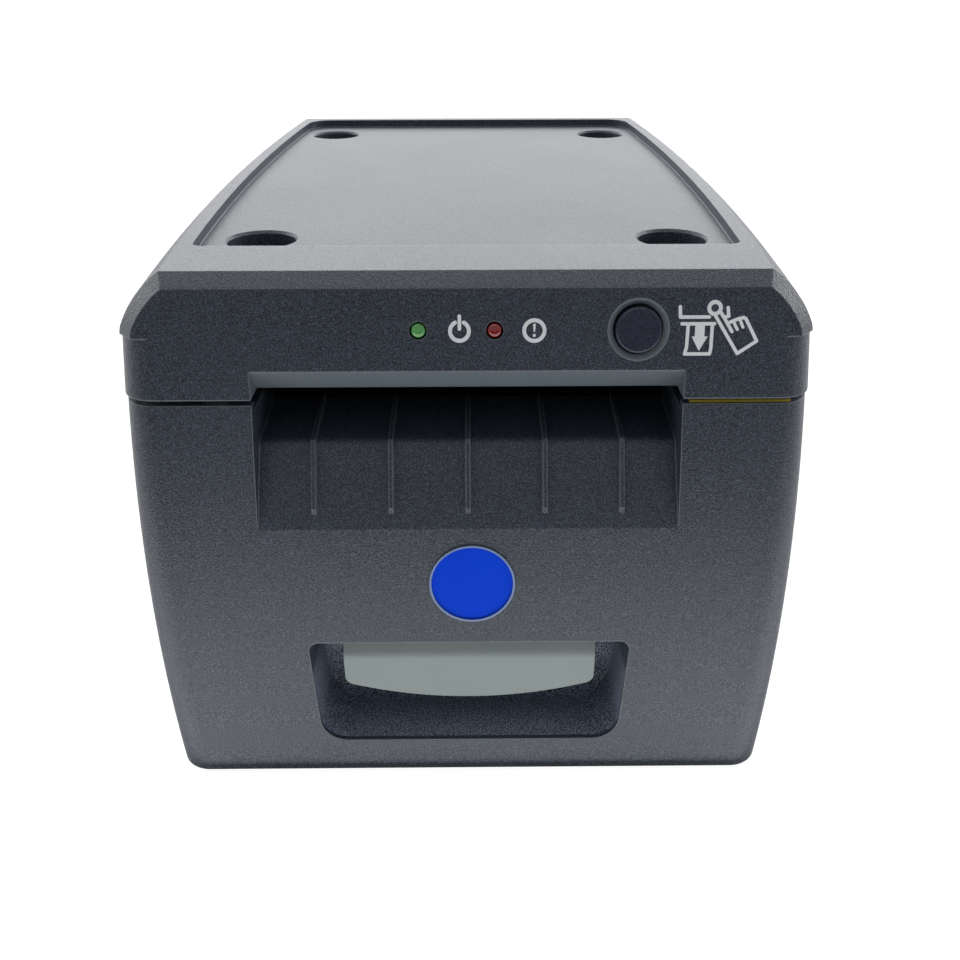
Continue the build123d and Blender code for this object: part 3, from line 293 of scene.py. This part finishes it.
def metal(name, colour, dark, roughness, scratch, across, edge=0.15):
    """Bare or plated metal: a bright, slightly uneven shine with fine marks.

    The real marks are under 0.1 mm wide and are drawn coarser, so that they show. A value of across under 1
    draws them out along that axis, as grinding or turning does.
    """
    material, tree, surface, at = new_material(name, Metallic=1.0)
    stretch = add(tree, "Mapping", {"Vector": at, "Scale": across})
    marks = add(tree, "TexNoise", {"Vector": stretch.outputs[0], "Scale": per_mm(scratch), "Detail": 3.0})
    broad = add(tree, "TexNoise", {"Vector": at, "Scale": per_mm(6), "Detail": 3.0})
    rounded = add(tree, "Bevel", {"Radius": edge * MM}, samples=BEVEL_SAMPLES).outputs[0]
    patch = add(tree, "MapRange", {
        "Value": broad.outputs[0], "From Min": 0.35, "From Max": 0.7, "To Max": 0.5,
    })
    toned = add(tree, "Mix", {
        "Factor": patch.outputs[0], FIRST: linear(colour), SECOND: linear(dark),
    }, data_type="RGBA")
    dull = add(tree, "MapRange", {
        "Value": marks.outputs[0], **NOISE_SPAN,
        "To Min": roughness - 0.08, "To Max": roughness + 0.1,
    })
    bump = add(tree, "Bump", {"Height": marks.outputs[0], "Distance": 0.004 * MM, "Normal": rounded})
    link_finish(tree, surface, toned, dull, bump)
    return material


def rubber(name, colour, worn, roughness, grain, depth):
    """Moulded or ground rubber: dull and slightly chalky. Its fine grain is drawn coarse enough to show."""
    material, tree, surface, at = new_material(name, IOR=1.52)
    fine = add(tree, "TexNoise", {"Vector": at, "Scale": per_mm(grain), "Detail": 5.0, "Roughness": 0.65})
    rounded = add(tree, "Bevel", {"Radius": 0.3 * MM}, samples=BEVEL_SAMPLES).outputs[0]
    chalk = add(tree, "MapRange", {
        "Value": fine.outputs[0], "From Min": 0.45, "From Max": 0.75, "To Max": 0.5,
    })
    toned = add(tree, "Mix", {
        "Factor": chalk.outputs[0], FIRST: linear(colour), SECOND: linear(worn),
    }, data_type="RGBA")
    dull = add(tree, "MapRange", {
        "Value": fine.outputs[0], "To Min": roughness - 0.06, "To Max": roughness + 0.08,
    })
    bump = add(tree, "Bump", {"Height": fine.outputs[0], "Distance": depth * MM, "Normal": rounded})
    link_finish(tree, surface, toned, dull, bump)
    return material


def lens(name, colour, deep, glow):
    """Cast epoxy lens of an unlit lamp: milky and glossy, with painted shade towards its rim, so that its
    crown looks brighter.
    """
    material, tree, surface, at = new_material(
        name, Roughness=0.12, IOR=1.53, Subsurface_Weight=0.35, Subsurface_Scale=1 * MM,
        Coat_Weight=0.6, Coat_Roughness=0.06,
    )
    cloud = add(tree, "TexNoise", {"Vector": at, "Scale": per_mm(0.5), "Detail": 2.0})
    facing = add(tree, "LayerWeight", {"Blend": 0.35}).outputs["Facing"]
    # Painted shade: the colour goes over to deep towards the rim, where the lens turns from view
    shade = add(tree, "Mix", {
        "Factor": facing, FIRST: linear(colour), SECOND: linear(deep),
    }, data_type="RGBA")
    haze = add(tree, "MapRange", {"Value": cloud.outputs[0], "To Max": 0.25})
    toned = add(tree, "Mix", {
        "Factor": haze.outputs[0], FIRST: shade.outputs[MIXED], SECOND: linear(glow),
    }, data_type="RGBA")
    link_finish(tree, surface, toned)
    return material


def badge_film():
    """Satin blue film: even and deep, with hardly any shine. Its flake is drawn coarse enough to show."""
    material, tree, surface, at = new_material(
        "blue_badge_film", Roughness=0.4, IOR=1.4, Specular_IOR_Level=0.08,
    )
    flake = add(tree, "TexVoronoi", {"Vector": at, "Scale": per_mm(0.35)})
    sparkle = add(tree, "MapRange", {
        "Value": flake.outputs["Distance"], "From Min": 0.0, "From Max": 0.5, "To Min": 0.08, "To Max": 0.0,
    })
    broad = add(tree, "TexNoise", {"Vector": at, "Scale": per_mm(7), "Detail": 2.0})
    patch = add(tree, "MapRange", {"Value": broad.outputs[0], **NOISE_SPAN, "To Max": 0.25})
    deep = add(tree, "Mix", {
        "Factor": patch.outputs[0], FIRST: linear("0041D8"), SECOND: linear("003BC8"),
    }, data_type="RGBA")
    toned = add(tree, "Mix", {
        "Factor": sparkle.outputs[0], FIRST: deep.outputs[MIXED], SECOND: linear("5C7BE8"),
    }, data_type="RGBA")
    ripple = add(tree, "TexNoise", {"Vector": at, "Scale": per_mm(1.2), "Detail": 2.0})
    bump = add(tree, "Bump", {"Height": ripple.outputs[0], "Distance": 0.006 * MM})
    link_finish(tree, surface, toned, bump=bump)
    return material


def circuit_board():
    """Glass-epoxy board under green solder mask: thin copper tracks show through as paler raised lines."""
    material, tree, surface, at = new_material(
        "green_circuit_board", IOR=1.5, Coat_Weight=0.4, Coat_Roughness=0.2,
    )
    tracks = add(tree, "TexBrick", {
        "Vector": at, "Color1": (1, 1, 1, 1), "Color2": (0.6, 0.6, 0.6, 1), "Mortar": (0, 0, 0, 1),
        "Scale": 1.0, "Mortar Size": 0.35 * MM, "Mortar Smooth": 0.1,
        "Brick Width": 9.0 * MM, "Row Height": 1.3 * MM,
    }, offset=0.37)
    weave = add(tree, "TexNoise", {"Vector": at, "Scale": per_mm(0.6), "Detail": 3.0})
    shade = add(tree, "Mix", {
        "Factor": tracks.outputs["Color"], FIRST: linear("0E4A2A"), SECOND: linear("1B6A3C"),
    }, data_type="RGBA")
    cloth = add(tree, "MapRange", {"Value": weave.outputs[0], "To Max": 0.25})
    toned = add(tree, "Mix", {
        "Factor": cloth.outputs[0], FIRST: shade.outputs[MIXED], SECOND: linear("0A3A20"),
    }, data_type="RGBA")
    dull = add(tree, "MapRange", {"Value": weave.outputs[0], "To Min": 0.3, "To Max": 0.45})
    bump = add(tree, "Bump", {"Height": tracks.outputs["Color"], "Distance": 0.02 * MM})
    link_finish(tree, surface, toned, dull, bump)
    return material


def sensor_glass():
    """Float glass strip over an image sensor: clear, faintly green, with a little paper dust on it."""
    material, tree, surface, at = new_material(
        "float_glass", Roughness=0.03, IOR=1.52, Transmission_Weight=0.85,
    )
    dust = add(tree, "TexNoise", {"Vector": at, "Scale": per_mm(3), "Detail": 5.0})
    haze = add(tree, "MapRange", {
        "Value": dust.outputs[0], "From Min": 0.45, "From Max": 0.8, "To Max": 0.3,
    })
    toned = add(tree, "Mix", {
        "Factor": haze.outputs[0], FIRST: linear("DDEBE4"), SECOND: linear("C2D0C8"),
    }, data_type="RGBA")
    link_finish(tree, surface, toned)
    return material


def print_ink():
    """Silver-grey screen-printing ink: opaque and matt. The screen's mesh is drawn coarse enough to show."""
    material, tree, surface, at = new_material("screen_print_ink", IOR=1.5)
    mesh = add(tree, "TexNoise", {"Vector": at, "Scale": per_mm(0.25), "Detail": 2.0})
    tone = add(tree, "MapRange", {"Value": mesh.outputs[0], **NOISE_SPAN, "To Max": 0.3})
    toned = add(tree, "Mix", {
        "Factor": tone.outputs[0], FIRST: linear("ECF0F3"), SECOND: linear("D8DDE2"),
    }, data_type="RGBA")
    dull = add(tree, "MapRange", {"Value": mesh.outputs[0], "To Min": 0.5, "To Max": 0.65})
    link_finish(tree, surface, toned, dull)
    return material


def finishes():
    """One material for each of the record's slots."""
    navy_abs = textured_abs(
        "navy_textured_abs", "0D1426", "2F3A55", "8A949B",
        grain=0.35, depth=0.03, roughness=0.36, edge=0.35,
    )
    return {
        "charcoal_shell": shell_abs(),
        # Glass-filled ABS: near black, dull, slightly rough
        "black_plastic": moulded(
            "black_glass_filled_abs", "111214", "2A2C2F", roughness=0.5, grain=0.6, depth=0.02, IOR=1.54,
        ),
        # Pale unpainted ABS: a soft even sheen
        "grey_plastic": moulded("light_grey_satin_abs", "7C8887", "949F9E", roughness=0.42, IOR=1.54),
        # Navy textured ABS: dark, with a shallower grain than the shell, so a little smoother
        "button_plastic": navy_abs["material"],
        "blue_plastic": badge_film(),
        # Polyester tape: yellow, satin, dirty at its edges
        "yellow_plastic": moulded(
            "yellow_polyester_tape", "B8A334", "8A7A28", roughness=0.45, edge=0.1, IOR=1.5,
        ),
        "green_lens": lens("green_epoxy_lens", "4C9C4A", "1D5A26", "8FD08A"),
        "red_lens": lens("red_epoxy_lens", "7E0D0D", "3A0404", "B02A24"),
        # Moulded foot rubber: black, matt, the coarsest grain of the three rubbers
        "foot_rubber": rubber(
            "moulded_foot_rubber", "161617", "2B2B2D", roughness=0.75, grain=0.5, depth=0.04,
        ),
        # Ground roller rubber: dark grey, matt, with the fine grain that grips paper
        "roller_rubber": rubber(
            "ground_epdm_rubber", "222224", "3A3A3C", roughness=0.7, grain=0.35, depth=0.03,
        ),
        # Moulded belt rubber: black, smoother than the rollers
        "belt_rubber": rubber(
            "moulded_chloroprene", "171717", "2A2A2A", roughness=0.65, grain=0.4, depth=0.02,
        ),
        # Zinc-plated steel: pale grey with a soft uneven shine
        "zinc_steel": metal(
            "zinc_plated_steel", "C3C5C6", "9FA4A8", roughness=0.36, scratch=0.5, across=(1, 1, 1),
        ),
        # Ground steel: bright, with fine marks drawn out along the shafts
        "bright_steel": metal(
            "ground_bright_steel", "C9C9CA", "A9A9AB", roughness=0.24, scratch=0.12, across=(0.08, 1, 1),
        ),
        # Satin chrome plating: a thin, cool, half-matt line
        "chrome_trim": metal(
            "satin_chrome_rim", "7A8BAA", "6C7C9C", roughness=0.5, scratch=0.3, across=(1, 1, 1), edge=0.12,
        ),
        # Machined brass: warm yellow, with turning marks
        "brass_gear": metal(
            "machined_brass", "C9A45A", "A88440", roughness=0.3, scratch=0.15, across=(1, 0.2, 0.2),
        ),
        # Natural acetal: milky white, a little waxy
        "white_acetal": moulded("natural_white_acetal", "E2E1DA", "CFCEC6", roughness=0.4, IOR=1.48),
        "circuit_board": circuit_board(),
        "sensor_glass": sensor_glass(),
    }


def dress_nodes(made):
    for part in frame["record"]["subparts"]:
        mesh = frame["nodes"][part["node"]].data
        mesh.materials.clear()
        mesh.materials.append(made[part["material_slot"]])


# ---------------------------------------------------------------- panel print

# Millimetres: how far the ink stands up and goes in, and the step between shapes that cross, which keeps
# them out of one plane
INK_HEIGHT = 0.06
INK_ROOT = 0.05
INK_STEP = 0.002
INK_LEVELS = 5

DISC_SIDES = 20
ARC_STEPS = 40


def stroke(points, width):
    """Filled outlines of a line of this width with round ends: one disc per point and one bar per run."""
    shapes = []
    for a, b in zip(points, points[1:]):
        along = (Vector(b) - Vector(a)).normalized() * width / 2
        side = Vector((-along.y, along.x))
        shapes.append([Vector(a) - side, Vector(b) - side, Vector(b) + side, Vector(a) + side])
    for p in points:
        shapes.append([
            Vector(p) + Vector((math.cos(t), math.sin(t))) * width / 2
            for t in (math.tau * i / DISC_SIDES for i in range(DISC_SIDES))
        ])
    return shapes


def arc(centre, radius, start, end):
    """Points on a circle between two angles in degrees, anticlockwise from the right."""
    angles = [math.radians(start + (end - start) * i / ARC_STEPS) for i in range(ARC_STEPS + 1)]
    return [(centre[0] + radius * math.cos(t), centre[1] + radius * math.sin(t)) for t in angles]


def printed(name, shapes, ink):
    """A mark of raised ink on the bowed panel, from outlines in X and height above the panel's middle."""
    form = bmesh.new()
    for number, outline in enumerate(shapes):
        lift = INK_HEIGHT + INK_STEP * (number % INK_LEVELS)
        corners = []
        for x, up in outline:
            z = PANEL_Z + up
            corners.append(form.verts.new((x * MM, (front_y(z) - lift) * MM, z * MM)))
        form.faces.new(corners)
    bmesh.ops.recalc_face_normals(form, faces=form.faces)
    sides = bmesh.ops.extrude_face_region(form, geom=list(form.faces))
    for piece in sides["geom"]:
        if isinstance(piece, bmesh.types.BMVert):
            piece.co.y += (INK_HEIGHT + INK_ROOT) * MM
    bmesh.ops.recalc_face_normals(form, faces=form.faces)
    data = bpy.data.meshes.new(name)
    form.to_mesh(data)
    form.free()
    mark = bpy.data.objects.new(name, data)
    bpy.context.scene.collection.objects.link(mark)
    data.materials.append(ink)
    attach(mark, "cover")


def power_mark(ink):
    """An open ring with an upright bar in its gap."""
    centre = (-1.55, -0.1)
    ring = stroke(arc(centre, 2.0, 118, 422), 0.85)
    bar = stroke([(centre[0], 0.35), (centre[0], 3.0)], 0.75)
    printed("power_mark", ring + bar, ink)


def alert_mark(ink):
    """A ring round a tapering stem with a dot under it."""
    x = 14.3
    ring = stroke(arc((x, -0.05), 2.15, 0, 360), 0.82)
    stem = [[(x - 0.3, 1.35), (x - 0.16, -0.3), (x + 0.16, -0.3), (x + 0.3, 1.35)]]
    dot = stroke([(x, -1.05), (x, -1.06)], 0.66)
    printed("alert_mark", ring + stem + dot, ink)


def feed_mark(ink):
    """A sheet with an arrow coming down out of a slot, and a finger on a round key."""
    line = 0.72
    slot_edge = stroke([(44.95, 4.75), (45.1, 2.6), (51.2, 2.6)], line)
    slot_edge += stroke([(54.3, 2.5), (55.3, 2.75), (55.05, 4.5)], line)
    lip = stroke([(45.5, 1.2), (52.4, 1.2)], line)
    sheet = stroke([
        (46.85, 1.15), (46.75, -3.65), (46.4, -5.1), (51.75, -5.1), (51.95, -3.85), (51.95, 1.15),
    ], line)
    shaft = [[(48.35, 1.15), (48.35, -1.45), (50.4, -1.45), (50.4, 1.15)]]
    head = [[(47.7, -1.45), (49.4, -4.5), (51.1, -1.45)]]
    key = stroke(arc((52.3, 4.45), 1.22, 0, 360), 0.84)
    back = [
        (52.2, 3.3), (57.65, -5.05), (61.6, -2.45), (59.0, 2.15), (58.5, 2.45), (57.4, 2.2), (55.65, 1.5),
    ]
    finger = [(53.5, 3.7), (54.9, 1.6), (56.2, -0.45)]
    hand = stroke(back, line) + stroke(finger, line)
    for fold in ([(56.3, 1.75), (57.3, 0.0)], [(57.7, 2.1), (58.45, 0.45)]):
        hand += stroke(fold, line * 0.9)
    printed("feed_mark", slot_edge + lip + sheet + shaft + head + key + hand, ink)


# ---------------------------------------------------------------- studio

# Metres: half the side of the floor, and the Y over which its white sheet gives way to dark in front
FLOOR_HALF = 6.0
WHITE_FROM = -0.2
DARK_UNTIL = -0.36

# Strength of what the camera sees of the floor, so that it comes out white with a thin shadow
FLOOR_GLOW = 0.945

# Strength of the room's light from in front and from behind
ROOM_FRONT = 0.42
ROOM_BACK = 0.9

# Name, place, aim and size in metres, and power in watts
LAMPS = (
    ("overhead_lamp", (-0.15, 0.1, 0.95), (0, 0, 0.1), (0.9, 0.9), 1.2),
    ("back_lamp", (0, 1.15, 0.72), (0, 0, 0.12), (2.0, 0.9), 12.0),
    ("left_lamp", (-0.9, 0.33, 0.52), (0, 0, 0.1), (0.5, 0.6), 3.2),
    ("right_lamp", (0.9, 0.33, 0.52), (0, 0, 0.1), (0.5, 0.6), 4.6),
    ("table_bounce", (0, -0.188, 0.003), (0, -0.188, 1), (0.5, 0.14), 0.26),
)


def room_light():
    """Soft white light from all round, dimmer from the front. The camera sees plain white."""
    world = bpy.data.worlds.new("studio")
    world.use_nodes = True
    bpy.context.scene.world = world
    tree = world.node_tree
    tree.nodes.clear()
    path = add(tree, "LightPath").outputs
    clear = add(tree, "Math", {
        0: path["Is Camera Ray"], 1: path["Is Transmission Ray"],
    }, operation="MAXIMUM")
    toward = add(tree, "SeparateXYZ", {0: add(tree, "TexCoord").outputs["Generated"]}).outputs["Y"]
    room = add(tree, "MapRange", {
        "Value": toward, "From Min": -0.7, "From Max": 0.6, "To Min": ROOM_FRONT, "To Max": ROOM_BACK,
    })
    level = add(tree, "Math", {0: clear.outputs[0], 1: room.outputs[0]}, operation="MAXIMUM").outputs[0]
    light = add(tree, "Background", {"Color": (1, 1, 1, 1), "Strength": level})
    add(tree, "OutputWorld", {"Surface": light.outputs[0]})


def floor_paper():
    """Matt sweep paper, white under the object and dark in front. The camera sees it white all over."""
    material = bpy.data.materials.new("white_sweep_paper")
    material.use_nodes = True
    tree = material.node_tree
    tree.nodes.clear()
    camera_ray = add(tree, "LightPath").outputs["Is Camera Ray"]
    at = add(tree, "TexCoord").outputs["Object"]
    depth = add(tree, "SeparateXYZ", {0: at}).outputs["Y"]
    near = add(tree, "MapRange", {"Value": depth, "From Min": DARK_UNTIL, "From Max": WHITE_FROM})
    tone = add(tree, "Mix", {
        "Factor": near.outputs[0], FIRST: linear("1E2024"), SECOND: linear("EDEDED"),
    }, data_type="RGBA")
    paper = add(tree, "BsdfDiffuse", {"Color": tone.outputs[MIXED]})
    thin = add(tree, "BsdfDiffuse", {"Color": linear("7A7A7A")})
    lit = add(tree, "Emission", {"Color": (1, 1, 1, 1), "Strength": FLOOR_GLOW})
    shown = add(tree, "AddShader", {0: thin.outputs[0], 1: lit.outputs[0]})
    either = add(tree, "MixShader", {0: camera_ray, 1: paper.outputs[0], 2: shown.outputs[0]})
    add(tree, "OutputMaterial", {"Surface": either.outputs[0]})
    return material


def lay_floor():
    form = bmesh.new()
    bmesh.ops.create_grid(form, x_segments=12, y_segments=12, size=FLOOR_HALF)
    data = bpy.data.meshes.new("floor")
    form.to_mesh(data)
    form.free()
    data.materials.append(floor_paper())
    floor = bpy.data.objects.new("floor", data)
    bpy.context.scene.collection.objects.link(floor)


def hang_lamps():
    for name, at, aim, size, power in LAMPS:
        lamp = bpy.data.lights.new(name, "AREA")
        lamp.shape = "RECTANGLE"
        lamp.size, lamp.size_y = size
        lamp.energy = power
        holder = bpy.data.objects.new(name, lamp)
        bpy.context.scene.collection.objects.link(holder)
        holder.location = at
        holder.rotation_euler = (Vector(aim) - Vector(at)).to_track_quat("-Z", "Y").to_euler()
        holder.visible_camera = False


bpy.context.scene.view_settings.view_transform = "Standard"
set_camera()
dress_nodes(finishes())
panel_ink = print_ink()
power_mark(panel_ink)
alert_mark(panel_ink)
feed_mark(panel_ink)
room_light()
lay_floor()
hang_lamps()
